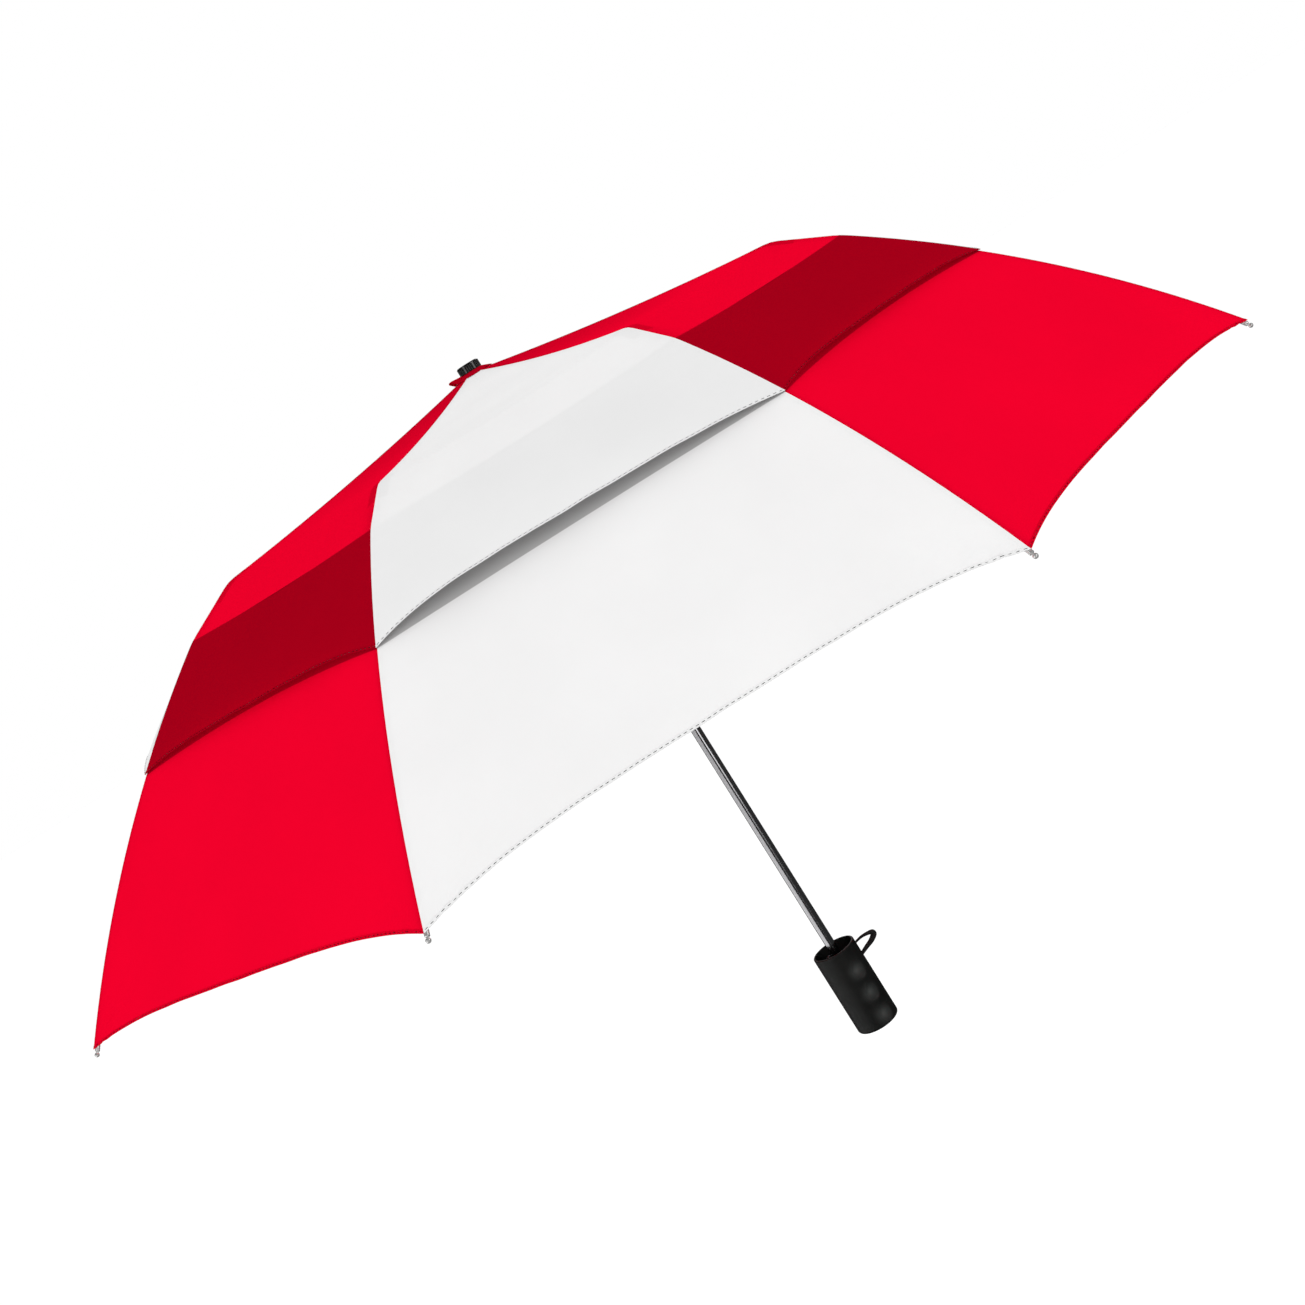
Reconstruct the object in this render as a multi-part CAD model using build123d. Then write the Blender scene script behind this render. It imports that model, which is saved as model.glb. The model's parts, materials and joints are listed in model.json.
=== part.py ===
from build123d import *
from math import asin, atan2, cos, degrees, hypot, pi, radians, sin, sqrt, tan
import os

# Two-fold golf umbrella with a vented double canopy, modelled open, in millimetres.
# The shaft is the Z axis and the handle's end face is z = 0. The ribs lie in planes
# through the axis, and every rib is drawn in the XZ plane and then turned about Z.

# ---- driving dimensions -------------------------------------------------------------
RIBS = 8
STEP = 360 / RIBS
FIRST_RIB = STEP / 2  # so that the front, -Y, is the middle of a panel
HALF_PANEL = radians(STEP / 2)

# the cloth's line over a rib, as (radius, height)
APEX_Z = 760.0
ELBOW_R, ELBOW_Z = 309.7, 712.1
SEAM_R, SEAM_Z = 365.5, 684.6  # the lower canopy's top edge
VENT_R, VENT_Z = 462.7, 610.6  # the upper canopy's hem
RIM_R, RIM_Z = 626.3, 439.8
CLOTH = 0.6  # modelled cloth thickness
LAYER_GAP = 1.4  # between the two canopies where they cross a rib
SCALLOP = 10.0  # how far the rim's hem draws in at mid-panel, in plan

# shaft
LOWER_TUBE_R, LOWER_TUBE_BORE = 5.15, 4.6
LOWER_TUBE_Z = (10.0, 412.0)
UPPER_TUBE_R, UPPER_TUBE_BORE = 6.0, 5.23
UPPER_TUBE_FOOT = 372.0

# frame
RIB_W, RIB_H, RIB_WALL = 4.4, 4.6, 0.7
ARM_W = 4.8  # the outer rib's channel, wide enough for the rod
RIB_DROP = 4.6  # from the cloth's line to the top of a rib
EAR_T = 0.7
CROWN_PIVOT_R = 9.5
STRETCHER_AT = 146.0  # crown pivot to stretcher pivot, along the rib
STRETCHER_DROP = 7.0  # stretcher pivot below the rib's top
STRETCHER_L, STRETCHER_W, STRETCHER_H = 204.0, 2.4, 3.0
ELBOW_RISE = 1.8  # elbow pivot above the ribs' tops
RIVET_R, RIVET_HOLE, RIVET_FIT = 0.75, 0.83, 0.78
ROD_R = 1.6
RUNNER_PIVOT_R = 10.6

# handle
GRIP_R, GRIP_BORE, GRIP_H = 22.8, 19.6, 89.5
CORE_R, CUP_FLOOR = 19.5, 64.5
CUP_BORE, CUP_STEP = 20.9, 66.0  # the grip's wall is thinner above this height
CAP_H = 5.0
BUTTON_AZ, BUTTON_Z, BUTTON_W, BUTTON_H = 130.0, 54.0, 11.4, 15.4
BUTTON_BACK = 14.0
DENT_AZ, DENT_Z, DENT_BALL, DENT_DEPTH = -62.0, (12.0, 38.0, 64.0), 25.0, 2.0
STRAP_AZ, STRAP_R = 15.0, 1.5


# ---- rib geometry in the XZ plane ---------------------------------------------------
def unit(dx, dz):
    length = hypot(dx, dz)
    return dx / length, dz / length


def offset(point, direction, along, up):
    """A point moved along a direction and square to it, towards the cloth."""
    ux, uz = direction
    return point[0] + along * ux - up * uz, point[1] + along * uz + up * ux


ELBOW, SEAM, VENT, RIM = (ELBOW_R, ELBOW_Z), (SEAM_R, SEAM_Z), (VENT_R, VENT_Z), (RIM_R, RIM_Z)
INNER_DIR = unit(ELBOW_R, ELBOW_Z - APEX_Z)
OUTER_DIR = unit(SEAM_R - ELBOW_R, SEAM_Z - ELBOW_Z)
INNER_SLOPE = degrees(atan2(-INNER_DIR[1], INNER_DIR[0]))
OUTER_SLOPE = degrees(atan2(-OUTER_DIR[1], OUTER_DIR[0]))
CROWN_BELOW = CROWN_PIVOT_R * tan(radians(INNER_SLOPE)) + (RIB_DROP + RIB_H / 2) / INNER_DIR[0]
CROWN_Z = APEX_Z - CROWN_BELOW
CROWN = (CROWN_PIVOT_R, CROWN_Z)
RIB_TOP = RIB_H / 2  # above the crown pivot's line
ELBOW_PIVOT = offset(ELBOW, INNER_DIR, 0, ELBOW_RISE - RIB_DROP)
PIVOT_TO_PIVOT = hypot(ELBOW_PIVOT[0] - CROWN[0], ELBOW_PIVOT[1] - CROWN[1])
RIB_L = sqrt(PIVOT_TO_PIVOT**2 - (RIB_TOP + ELBOW_RISE) ** 2)  # along the rib only
STRETCHER_PIVOT = offset(CROWN, INNER_DIR, STRETCHER_AT, RIB_TOP - STRETCHER_DROP)
RUNNER_REACH = STRETCHER_PIVOT[0] - RUNNER_PIVOT_R
RUNNER_Z = STRETCHER_PIVOT[1] - sqrt(STRETCHER_L**2 - RUNNER_REACH**2)
STRETCHER_SLOPE = 180 - degrees(asin((STRETCHER_PIVOT[1] - RUNNER_Z) / STRETCHER_L))


def arc_points(first, middle, last, count):
    """Points along the circle through three points, from the first to the last."""
    edge = ThreePointArc(*[(r, 0, z) for r, z in (first, middle, last)])
    places = [edge @ (k / count) for k in range(count + 1)]
    return [(place.X, place.Z) for place in places]


# ---- placing ------------------------------------------------------------------------
def at_rib(shape, point, slope):
    """Put a piece drawn along X, about its own pivot, at a point and slope of the rib's plane."""
    return Pos(point[0], 0, point[1]) * Rot(0, slope, 0) * shape


def turned(shape, azimuth):
    return Rot(0, 0, azimuth) * shape


def plate(points, width, shift=0.0):
    """A flat plate with its outline in XZ and its thickness along Y."""
    face = make_face(Plane.XZ * Polyline(*points, close=True))
    return Pos(0, shift, 0) * extrude(face, width / 2, both=True)


def peg(x, z, radius, width, shift=0.0):
    """A round pin across the rib."""
    return Pos(x, shift, z) * Rot(90, 0, 0) * Cylinder(radius, width)


def block(x0, x1, y0, y1, z0, z1):
    return Pos((x0 + x1) / 2, (y0 + y1) / 2, (z0 + z1) / 2) * Box(x1 - x0, y1 - y0, z1 - z0)


def tube(outer, inner, z0, z1):
    return Pos(0, 0, (z0 + z1) / 2) * (Cylinder(outer, z1 - z0) - Cylinder(inner, z1 - z0 + 2))


def disc(radius, z0, z1):
    return Pos(0, 0, (z0 + z1) / 2) * Cylinder(radius, z1 - z0)


def channel(x0, x1, top, width, height, wall):
    """A U channel along X, open below."""
    whole = block(x0, x1, -width / 2, width / 2, top - height, top)
    inside = width / 2 - wall
    return whole - block(x0 - 1, x1 + 1, -inside, inside, top - height - 1, top - wall)


def rivet(x, z):
    """A rivet across a rib, headed outside both ears."""
    shank = peg(x, z, RIVET_R, RIB_W + 0.3)
    heads = [peg(x, z, 1.4, 0.5, side * (RIB_W / 2 + 0.3)) for side in (-1, 1)]
    return shank + heads[0] + heads[1]


def ears(points, x, z, radius):
    """The two cheeks of a joint, with a round end about the pivot."""
    both = None
    for side in (-1, 1):
        shift = side * (RIB_W - EAR_T) / 2
        ear = plate(points, EAR_T, shift) + peg(x, z, radius, EAR_T, shift)
        both = ear if both is None else both + ear
    return both - peg(x, z, RIVET_FIT, 20)


# ---- frame --------------------------------------------------------------------------
def inner_rib():
    """Channel from crown to elbow, with the rivets of the stretcher and of the elbow."""
    tongue = plate([(0, 1.9), (12, 1.9), (12, -1.9), (0, -1.9)], 2.6) + peg(0, 0, 1.9, 2.6)
    body = channel(8, RIB_L - 3, RIB_TOP, RIB_W, RIB_H, RIB_WALL) + tongue - peg(0, 0, 0.9, 9)
    drop = RIB_TOP - STRETCHER_DROP
    wide, narrow = 3.0, 1.8
    hanger = [(-wide, -1.5), (wide, -1.5), (narrow, drop), (-narrow, drop)]
    body += ears([(STRETCHER_AT + x, z) for x, z in hanger], STRETCHER_AT, drop, narrow)
    rise = RIB_TOP + ELBOW_RISE
    knuckle = [(-9, -2.3), (-9, 2.3), (-1.6, rise), (1.6, rise), (-1, -2.3)]
    body += ears([(RIB_L + x, z) for x, z in knuckle], RIB_L, rise, 1.6)
    pieces = [body, rivet(STRETCHER_AT, drop), rivet(RIB_L, rise)]
    return Compound(children=[at_rib(p, CROWN, INNER_SLOPE).solids()[0] for p in pieces])


def tie_rod():
    """The link wire that lies in the channel between stretcher and elbow."""
    x0, x1 = STRETCHER_AT + 20, RIB_L - 9
    wire = Pos((x0 + x1) / 2, 0, 0.65) * Rot(0, 90, 0) * Cylinder(0.7, x1 - x0)
    return at_rib(wire, CROWN, INNER_SLOPE)


def stretcher():
    body = channel(3, STRETCHER_L - 3, STRETCHER_H / 2, STRETCHER_W, STRETCHER_H, 0.6)
    for x, radius in ((0, 1.7), (STRETCHER_L, 1.5)):
        inward = 6 if x == 0 else -6
        body += plate([(x, 1.5), (x + inward, 1.5), (x + inward, -1.5), (x, -1.5)], STRETCHER_W)
        body += peg(x, 0, radius, STRETCHER_W)
        body -= peg(x, 0, RIVET_HOLE, 9)
    return at_rib(body, STRETCHER_PIVOT, STRETCHER_SLOPE)


# the cloth's bend from the seam to the rim, in equal steps; the vent's hem is on the third
BEND_STEPS, HEM_STEP = 9, 3
OUTER_CHORD = unit(RIM_R - SEAM_R, RIM_Z - SEAM_Z)
UPPER_LINE = arc_points(SEAM, VENT, offset(RIM, OUTER_CHORD, 0, LAYER_GAP), BEND_STEPS)
LOWER_SEAM, LOWER_VENT = [offset(p, OUTER_CHORD, 0, -LAYER_GAP) for p in (SEAM, VENT)]
LOWER_LINE = arc_points(LOWER_SEAM, LOWER_VENT, RIM, BEND_STEPS)

# the rod's bow, from inside the elbow's channel to the rim
ROD_GAP = CLOTH / 2 + ROD_R + 0.7
ROD_FROM = offset(ELBOW_PIVOT, OUTER_DIR, 50, -ELBOW_RISE - 2.5)
ROD_MID = offset(LOWER_LINE[5], OUTER_CHORD, 0, -ROD_GAP)
ROD_END = offset(RIM, OUTER_CHORD, 0, -ROD_GAP - 0.6)
ROD_BOW = ThreePointArc(*[(x, 0, z) for x, z in (ROD_FROM, ROD_MID, ROD_END)])
ROD_TANGENT = ROD_BOW % 1
RIM_SLOPE = degrees(atan2(-ROD_TANGENT.Z, ROD_TANGENT.X))


def outer_rib():
    """A short channel at the elbow and the glass-fibre rod that is crimped into it."""
    arm = channel(4, 64, -ELBOW_RISE, ARM_W, RIB_H, RIB_WALL)
    arm += plate([(0, 1.6), (9, -2.8), (9, -6.2), (4.5, -6.2), (-1.6, 0)], 2.6) + peg(0, 0, 1.6, 2.6)
    arm = at_rib(arm - peg(0, 0, RIVET_HOLE, 9), ELBOW_PIVOT, OUTER_SLOPE)
    rod = sweep(Plane(ROD_BOW @ 0, z_dir=ROD_BOW % 0) * Circle(ROD_R), ROD_BOW)
    return Compound(children=[arm.solids()[0], rod.solids()[0]])


def rib_tip():
    """Metal sleeve and ball on the rod's end, which the cloth's corner is tied to."""
    outline = [(-8, 1.68), (-8, 2.05), (0.8, 2.05), (1.5, 1.1), (2.4, 1.1)]
    outline += [(2.4, 0), (0.3, 0), (0.3, 1.68)]
    profile = Polyline(*[(x, 0, z) for x, z in outline], close=True)
    sleeve = revolve(make_face(profile), Axis.X)
    tip = sleeve + Pos(3.9, 0, 0) * Sphere(2.1)
    return at_rib(tip, ROD_END, RIM_SLOPE)


def crown():
    low, high = CROWN_Z - 5, CROWN_Z + 5
    body = disc(12.5, low, high) + disc(5.15, low - 20, low + 1) + disc(4.0, high - 1, 764.9)
    for k in range(RIBS):
        slot = block(7.4, 20, -1.6, 1.6, low - 1, CROWN_Z + 2.6)
        body -= turned(slot, FIRST_RIB + k * STEP)
    return body - Pos(0, 0, CROWN_Z) * Torus(CROWN_PIVOT_R, 0.78)


def crown_ring():
    """The wire ring that the inner ribs are threaded on."""
    return Pos(0, 0, CROWN_Z) * Torus(CROWN_PIVOT_R, 0.7)


def top_cap():
    body = disc(11.5, 761.1, 768.9)
    body = chamfer(body.edges().group_by(Axis.Z)[-1], 0.9)
    for k in range(36):
        body -= turned(Pos(11.9, 0, 764.0) * Cylinder(0.6, 6.0), k * 10)
    return body - disc(4.1, 760, 765.2)


def rosette():
    """Stiffened cloth washer between the canopy and the cap."""
    fall = tan(radians(INNER_SLOPE))
    low = [(r, 760.65 - fall * r) for r in (4.6, 20.0)]
    points = [*low, (20.0, low[1][1] + 0.9), (4.6, low[0][1] + 0.9)]
    return revolve(make_face(Plane.XZ * Polyline(*points, close=True)), Axis.Z)


def upper_tube():
    return tube(UPPER_TUBE_R, UPPER_TUBE_BORE, UPPER_TUBE_FOOT, CROWN_Z - 5.1)


def lower_tube():
    return tube(LOWER_TUBE_R, LOWER_TUBE_BORE, *LOWER_TUBE_Z)


def runner():
    """Slider with a notched flange for the stretchers' ends."""
    body = disc(13.0, RUNNER_Z - 6, RUNNER_Z + 4) + disc(8.2, RUNNER_Z - 28, RUNNER_Z - 5)
    body = fillet(body.edges().filter_by(GeomType.CIRCLE).group_by(Axis.Z)[-1], 0.8)
    for k in range(RIBS):
        notch = block(8.3, 20, -1.6, 1.6, RUNNER_Z - 7, RUNNER_Z + 6)
        body -= turned(notch, FIRST_RIB + k * STEP)
    return body - disc(UPPER_TUBE_R + 0.08, RUNNER_Z - 40, RUNNER_Z + 20)


# ---- canopy -------------------------------------------------------------------------
def panel(line):
    """One gore: flat from rib to rib, following the rib's line down its length."""
    top, low = [], []
    for k, point in enumerate(line):
        before, after = line[max(k - 1, 0)], line[min(k + 1, len(line) - 1)]
        direction = unit(after[0] - before[0], after[1] - before[1])
        top.append(offset(point, direction, 0, CLOTH / 2))
        low.append(offset(point, direction, 0, -CLOTH / 2))
    outline = [(r * cos(HALF_PANEL), z) for r, z in top + low[::-1]]
    sheet = plate(outline, 2 * RIM_R)
    far, side = 2 * RIM_R, 2 * RIM_R * tan(HALF_PANEL)
    wedge = make_face(Polyline((0, 0), (far, side), (far, -side), close=True))
    return sheet & extrude(wedge, 900)


def vent_panel():
    inner = offset((5.2, APEX_Z - 5.2 * tan(radians(INNER_SLOPE))), INNER_DIR, 0, 0)
    return panel([inner, ELBOW, *UPPER_LINE[: HEM_STEP + 1]])


def lower_panel():
    half_chord = RIM_R * sin(HALF_PANEL)
    radius = (half_chord**2 + SCALLOP**2) / (2 * SCALLOP)
    middle = RIM_R * cos(HALF_PANEL) - SCALLOP
    return panel(LOWER_LINE) - Pos(middle + radius, 0, 450) * Cylinder(radius, 400)


def panels(shape, first):
    """Every second gore, which is one colour of the canopy."""
    return Compound(children=[turned(shape, (first + k) * STEP).solids()[0] for k in range(0, RIBS, 2)])


# ---- handle -------------------------------------------------------------------------
def handle_grip():
    body = disc(GRIP_R, 0, GRIP_H)
    body = fillet(body.edges().group_by(Axis.Z)[0], 3.0)
    body = fillet(body.edges().group_by(Axis.Z)[-1], 1.2)
    body -= disc(GRIP_BORE, -1, GRIP_H + 1) + disc(CUP_BORE, CUP_STEP, GRIP_H + 1)
    half_w, half_h = BUTTON_W / 2 + 0.4, BUTTON_H / 2 + 0.4
    body -= turned(block(15, 30, -half_w, half_w, BUTTON_Z - half_h, BUTTON_Z + half_h), BUTTON_AZ)
    for z in DENT_Z:
        reach = GRIP_R + DENT_BALL - DENT_DEPTH
        body -= turned(Pos(reach, 0, z) * Sphere(DENT_BALL), DENT_AZ)
    for z in (STRAP_ROUTE[0][1], STRAP_ROUTE[-1][1]):
        body -= turned(Pos(GRIP_R, 0, z) * Rot(0, 90, 0) * Cylinder(STRAP_R + 0.6, 12), STRAP_AZ)
    return body


def handle_core():
    """Moulded hub that grips the lower tube, with the latch's slot open to the cup."""
    body = disc(CORE_R, CAP_H + 0.1, CUP_FLOOR) - disc(LOWER_TUBE_R + 0.05, LOWER_TUBE_Z[0] - 0.1, 70)
    slot = block(9.6, 24, -6.2, 6.2, BUTTON_Z - 9, CUP_FLOOR + 1)
    well = Pos(9.2, 0, BUTTON_Z) * Rot(0, 90, 0) * Cylinder(3.0, 4.4)
    return body - turned(slot + well, BUTTON_AZ)


def end_cap():
    body = disc(CORE_R, 0, CAP_H)
    return body - disc(14.0, -1, 0.8)


def push_button():
    half_w, half_h = BUTTON_W / 2, BUTTON_H / 2
    body = block(BUTTON_BACK, 26, -half_w, half_w, BUTTON_Z - half_h, BUTTON_Z + half_h)
    body = fillet(body.edges().filter_by(Axis.X), 2.0)
    return turned(body & disc(GRIP_R + 1.6, 0, 100), BUTTON_AZ)


def latch_hook():
    """Spring-steel catch on the button's back, reaching up into the cup."""
    points = [(12.6, 48), (13.9, 48), (13.9, 82), (11.3, 82), (11.3, 80.5), (12.6, 79)]
    return turned(plate(points, 5.0), BUTTON_AZ)


def button_spring():
    """Compression spring between the core and the latch."""
    wire, coil_r, length = 0.3, 2.3, 4.6
    path = Helix(pitch=length / 3.5, height=length, radius=coil_r)
    coil = sweep(Plane(path @ 0, z_dir=path % 0) * Circle(wire), path)
    return turned(Pos(7.55, 0, BUTTON_Z) * Rot(0, 90, 0) * coil, BUTTON_AZ)


# the wrist loop, in the plane of its azimuth: out of one hole and back into the other
STRAP_ROUTE = [
    (20.2, 79.9), (25.5, 80.8), (31.9, 81.2), (39.0, 79.8), (43.8, 77.6), (45.4, 74.8),
    (42.8, 72.4), (38.1, 71.3), (32.7, 70.5), (27.8, 68.8), (23.6, 67.3), (20.2, 67.2),
]


def wrist_strap():
    route = [(r, 0, z) for r, z in STRAP_ROUTE]
    radii = []
    for before, corner, after in zip(route, route[1:], route[2:]):
        back, ahead = Vector(corner) - Vector(before), Vector(after) - Vector(corner)
        half_turn = radians(back.get_angle(ahead)) / 2
        radii.append(0.45 * min(back.length, ahead.length) / tan(half_turn))
    print("strap radii", [round(r, 1) for r in radii])
    path = FilletPolyline(*route, radius=radii)
    cord = sweep(Plane(path @ 0, z_dir=path % 0) * Circle(STRAP_R), path)
    solid_share = cord.volume / (path.length * pi * STRAP_R**2)
    print("strap length", round(path.length, 1), "volume ratio", round(solid_share, 4))
    return turned(cord, STRAP_AZ)


# ---- writing ------------------------------------------------------------------------
def nodes():
    yield "handle_grip", handle_grip()
    yield "handle_core", handle_core()
    yield "end_cap", end_cap()
    yield "lower_tube", lower_tube()
    yield "push_button", push_button()
    yield "latch_hook", latch_hook()
    yield "button_spring", button_spring()
    yield "wrist_strap", wrist_strap()
    yield "upper_tube", upper_tube()
    yield "crown", crown()
    yield "crown_ring", crown_ring()
    yield "rosette", rosette()
    yield "top_cap", top_cap()
    yield "runner", runner()
    vent, lower = vent_panel(), lower_panel()
    yield "upper_canopy_white", panels(vent, 0)
    yield "upper_canopy_red", panels(vent, 1)
    yield "lower_canopy_white", panels(lower, 0)
    yield "lower_canopy_red", panels(lower, 1)
    per_rib = {
        "inner_rib": inner_rib(), "tie_rod": tie_rod(), "stretcher": stretcher(),
        "outer_rib": outer_rib(), "rib_tip": rib_tip(),
    }
    for k in range(RIBS):
        for name, shape in per_rib.items():
            yield f"{name}_{k + 1}", turned(shape, FIRST_RIB + k * STEP)


def main():
    os.makedirs("parts", exist_ok=True)
    for name, shape in nodes():
        export_step(shape, f"parts/{name}.step")
    print("crown pivot", CROWN, "elbow pivot", ELBOW_PIVOT, "stretcher pivot", STRETCHER_PIVOT)
    print("runner z", RUNNER_Z, "slopes", INNER_SLOPE, OUTER_SLOPE, STRETCHER_SLOPE, "rib length", RIB_L)


main()
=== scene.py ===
"""The looks of an open two-fold golf umbrella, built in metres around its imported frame."""
import json
from math import atan2, cos, hypot, pi, radians, sin

import bpy
import numpy as np
from mathutils import Matrix, Vector


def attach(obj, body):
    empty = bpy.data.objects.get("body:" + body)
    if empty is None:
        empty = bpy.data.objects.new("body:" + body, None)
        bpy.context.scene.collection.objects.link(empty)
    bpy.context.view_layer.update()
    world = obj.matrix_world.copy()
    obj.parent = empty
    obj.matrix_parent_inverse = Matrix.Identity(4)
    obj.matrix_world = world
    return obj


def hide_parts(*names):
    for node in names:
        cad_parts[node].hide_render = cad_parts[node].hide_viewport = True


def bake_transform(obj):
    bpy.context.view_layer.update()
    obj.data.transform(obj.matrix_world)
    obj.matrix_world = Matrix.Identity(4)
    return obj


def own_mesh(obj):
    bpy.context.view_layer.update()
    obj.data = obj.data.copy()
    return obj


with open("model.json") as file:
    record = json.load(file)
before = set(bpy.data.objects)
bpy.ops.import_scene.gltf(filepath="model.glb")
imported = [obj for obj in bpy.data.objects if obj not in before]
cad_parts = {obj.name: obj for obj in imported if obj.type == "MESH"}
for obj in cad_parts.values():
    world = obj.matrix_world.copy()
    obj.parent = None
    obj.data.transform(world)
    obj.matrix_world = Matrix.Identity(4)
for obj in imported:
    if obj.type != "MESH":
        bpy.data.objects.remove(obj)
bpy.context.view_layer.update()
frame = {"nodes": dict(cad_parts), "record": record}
nodes = frame["nodes"]

# ---- driving dimensions, in metres -----------------------------------------------------
RIBS = 8
STEP = 2 * pi / RIBS
HALF = STEP / 2
COLOURS = ("white", "red")

# the cloth's line over a rib, as (radius, height)
APEX = (0.0052, 0.7592)
ELBOW = (0.3097, 0.7121)
SEAM = (0.3655, 0.6846)
VENT = (0.4627, 0.6106)
RIM = (0.6263, 0.4398)
DIP = 0.0040  # how far the cloth hangs below a straight line from apex to elbow
LAYER_GAP = 0.0014
LINE_STEP = 0.001
SOFT_BEND = 6  # how many steps of the line a bend is eased over

# how the cloth lies between two ribs
UPPER_SAG = 0.0040
VENT_LIFT = {"white": 0.0100, "red": 0.0040}
VENT_DRAW = {"white": 0.0060, "red": 0.0095}
VENT_LEAN = (0.2, -0.15, -0.25, 0.2, 0.15, 0.1, -0.34, -0.1)  # which way each mouth opens more
MOUTH_RISE = {"white": 0.0040, "red": 0.0125}  # how far up the vent's painted shadow starts at a panel's middle
LOWER_SAG = 0.0015
BELLY = 0.0015
SCALLOP = {"white": 0.0125, "red": 0.0085}

HEM_POWER = 4  # the hem draws in close to the ribs and runs nearly straight between

# small relief of the cloth: heights, how far each reaches, and the pitches or number of its waves
PUCKER_H, PUCKER_REACH, PUCKER_PITCHES = 0.00016, 0.009, (0.0115, 0.0191)
RIPPLE_H, RIPPLE_REACH, RIPPLE_PITCHES = 0.00030, 0.030, (0.061, 0.037)
PULL_H, PULL_REACH, PULL_FOLDS = 0.0008, 0.075, 9.0

# sewing
HEM_W, HEM_T = 0.0030, 0.0004
HEM_STITCH = 0.0013  # from the hem's edge
SEAM_T, SEAM_STRIP = 0.0002, (0.0031, 0.0037)  # a seam strip's thickness, and where its edge falls away
STITCH_L, STITCH_PITCH, STITCH_R = 0.0032, 0.0048, 0.0003
WEAVE_PITCH = 0.0009
ROW_PITCH = 0.007  # of the cloth's mesh, along the rib

# the elbows' patches
PAD_BEFORE, PAD_AFTER, PAD_HALF_W, PAD_PITCH = 0.020, 0.022, 0.0105, 0.0015
PAD_GAP, PAD_FLAT, PAD_FALL = 0.0009, 0.0024, 0.30  # under the cloth, flat over the rib, then falling

# the grip's finger dents, whose middles carry a painted highlight
DENT_HEIGHTS, DENT_AZ, DENT_R, DENT_REACH = (0.012, 0.038, 0.064), radians(-68), 0.0222, 0.0140

# studio
FLOOR_Z, FLOOR_REACH = -1.1, 40.0
LAMPS_AIM = (0, 0, 0.5)
DARK_STUDIO = 0.05  # how bright the studio is in reflections, beside its lamps and cards
LAMPS = (
    # name, place, size, power, whether reflections see it
    ("key", (-2.2, -1.9, 1.3), (1.4, 1.4), 9.0, True),
    ("fill", (2.3, -1.9, 1.3), (1.4, 1.4), 13.0, True),
    ("strip", (-1.9, -1.7, -0.35), (1.9, 1.3), 9.0, False),
    ("back", (0.6, 2.6, 1.8), (1.8, 1.8), 14.0, True),
)
CARDS = (
    # name, its foot's two ends, its heights, the heights over which its glow changes, the glow there
    ("side_card", (-1.5, -2.2), (-2.8, 2.2), (-1.0, 0.35), (-0.85, -0.10), (0.65, 0.03)),
    ("middle_card", (-0.05, -2.2), (0.85, -2.1), (-0.25, 0.35), (-0.25, 0.0), (0.2, 1.8)),
)
EYE, EYE_TURN = (-0.0456, -1.7959, 0.6823), (radians(-1.073), radians(82.752), radians(-32.139))
LENS, SENSOR, SHIFT = 51.27, 36.0, (0.0169, -0.0031)


# ---- small helpers ---------------------------------------------------------------------
def smooth(edge0, edge1, x):
    t = np.clip((x - edge0) / (edge1 - edge0), 0.0, 1.0)
    return t * t * (3 - 2 * t)


def turned(points, angle):
    """Points turned about the shaft's axis."""
    c, s = cos(angle), sin(angle)
    return np.asarray(points) @ np.array([[c, s, 0], [-s, c, 0], [0, 0, 1]])


def arc(first, middle, last, count):
    """Points along the circle through three points, from the first to the last."""
    (ax, ay), (bx, by), (cx, cy) = first, middle, last
    d = 2 * (ax * (by - cy) + bx * (cy - ay) + cx * (ay - by))
    aa, bb, cc = ax * ax + ay * ay, bx * bx + by * by, cx * cx + cy * cy
    ox = (aa * (by - cy) + bb * (cy - ay) + cc * (ay - by)) / d
    oy = (aa * (cx - bx) + bb * (ax - cx) + cc * (bx - ax)) / d
    start, end = atan2(ay - oy, ax - ox), atan2(cy - oy, cx - ox)
    radius = hypot(ax - ox, ay - oy)
    angles = np.linspace(start, end, count)
    return np.column_stack([ox + radius * np.cos(angles), oy + radius * np.sin(angles)])


def offset(point, direction, up):
    """A point of the rib's plane moved square to a direction, towards the cloth."""
    length = hypot(*direction)
    return point[0] - up * direction[1] / length, point[1] + up * direction[0] / length


class Line:
    """The cloth's line over a rib: evenly spaced points, read by their distance along it."""

    def __init__(self, points):
        points = np.asarray(points, float)
        along = np.concatenate([[0], np.cumsum(np.hypot(*np.diff(points, axis=0).T))])
        self.s = np.linspace(0, along[-1], int(along[-1] / LINE_STEP) + 1)
        even = np.column_stack([np.interp(self.s, along, points[:, k]) for k in (0, 1)])
        padded = np.pad(even, ((SOFT_BEND, SOFT_BEND), (0, 0)), mode="reflect", reflect_type="odd")
        kernel = np.ones(2 * SOFT_BEND + 1) / (2 * SOFT_BEND + 1)
        eased = [np.convolve(padded[:, k], kernel, mode="valid") for k in (0, 1)]
        self.r, self.z = eased
        self.nr, self.nz = self._normals()
        self.length = float(along[-1])

    def _normals(self):
        dx, dz = np.gradient(self.r) * cos(HALF), np.gradient(self.z)
        size = np.hypot(dx, dz)
        return -dz / size, dx / size

    def at(self, s):
        return [np.interp(s, self.s, v) for v in (self.r, self.z, self.nr, self.nz)]

    def s_of(self, r):
        return np.interp(r, self.r, self.s)


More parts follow.
